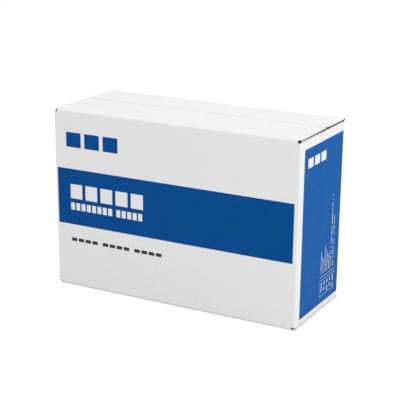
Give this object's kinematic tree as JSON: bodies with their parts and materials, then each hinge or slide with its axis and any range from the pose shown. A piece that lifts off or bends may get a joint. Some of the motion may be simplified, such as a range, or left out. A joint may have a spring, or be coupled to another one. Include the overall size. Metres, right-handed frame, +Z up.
{
  "type": "carton of computer paper",
  "caption": "Sealed corrugated carton for a stack of continuous form paper, printed with a blue band on its long faces and blue fields on its ends.",
  "frame": {"origin": "middle of the carton's base, on the surface it stands on", "axes": "+X along the width, from the left end to the right end; +Y from the front panel to the rear; +Z up"},
  "size_m": [0.2504, 0.1004, 0.171],
  "materials": {
    "white_board": "white-faced corrugated board, matt, with brown cut edges",
    "blue_ink": "flat blue flexographic ink, low sheen",
    "grey_ink": "dark grey flexographic ink, low sheen"
  },
  "bodies": {
    "root": {"carton": "white_board", "front_print": "blue_ink", "front_caption": "grey_ink", "rear_print": "blue_ink", "rear_caption": "grey_ink", "right_end_print": "blue_ink", "left_end_print": "blue_ink"}
  },
  "joints": []
}
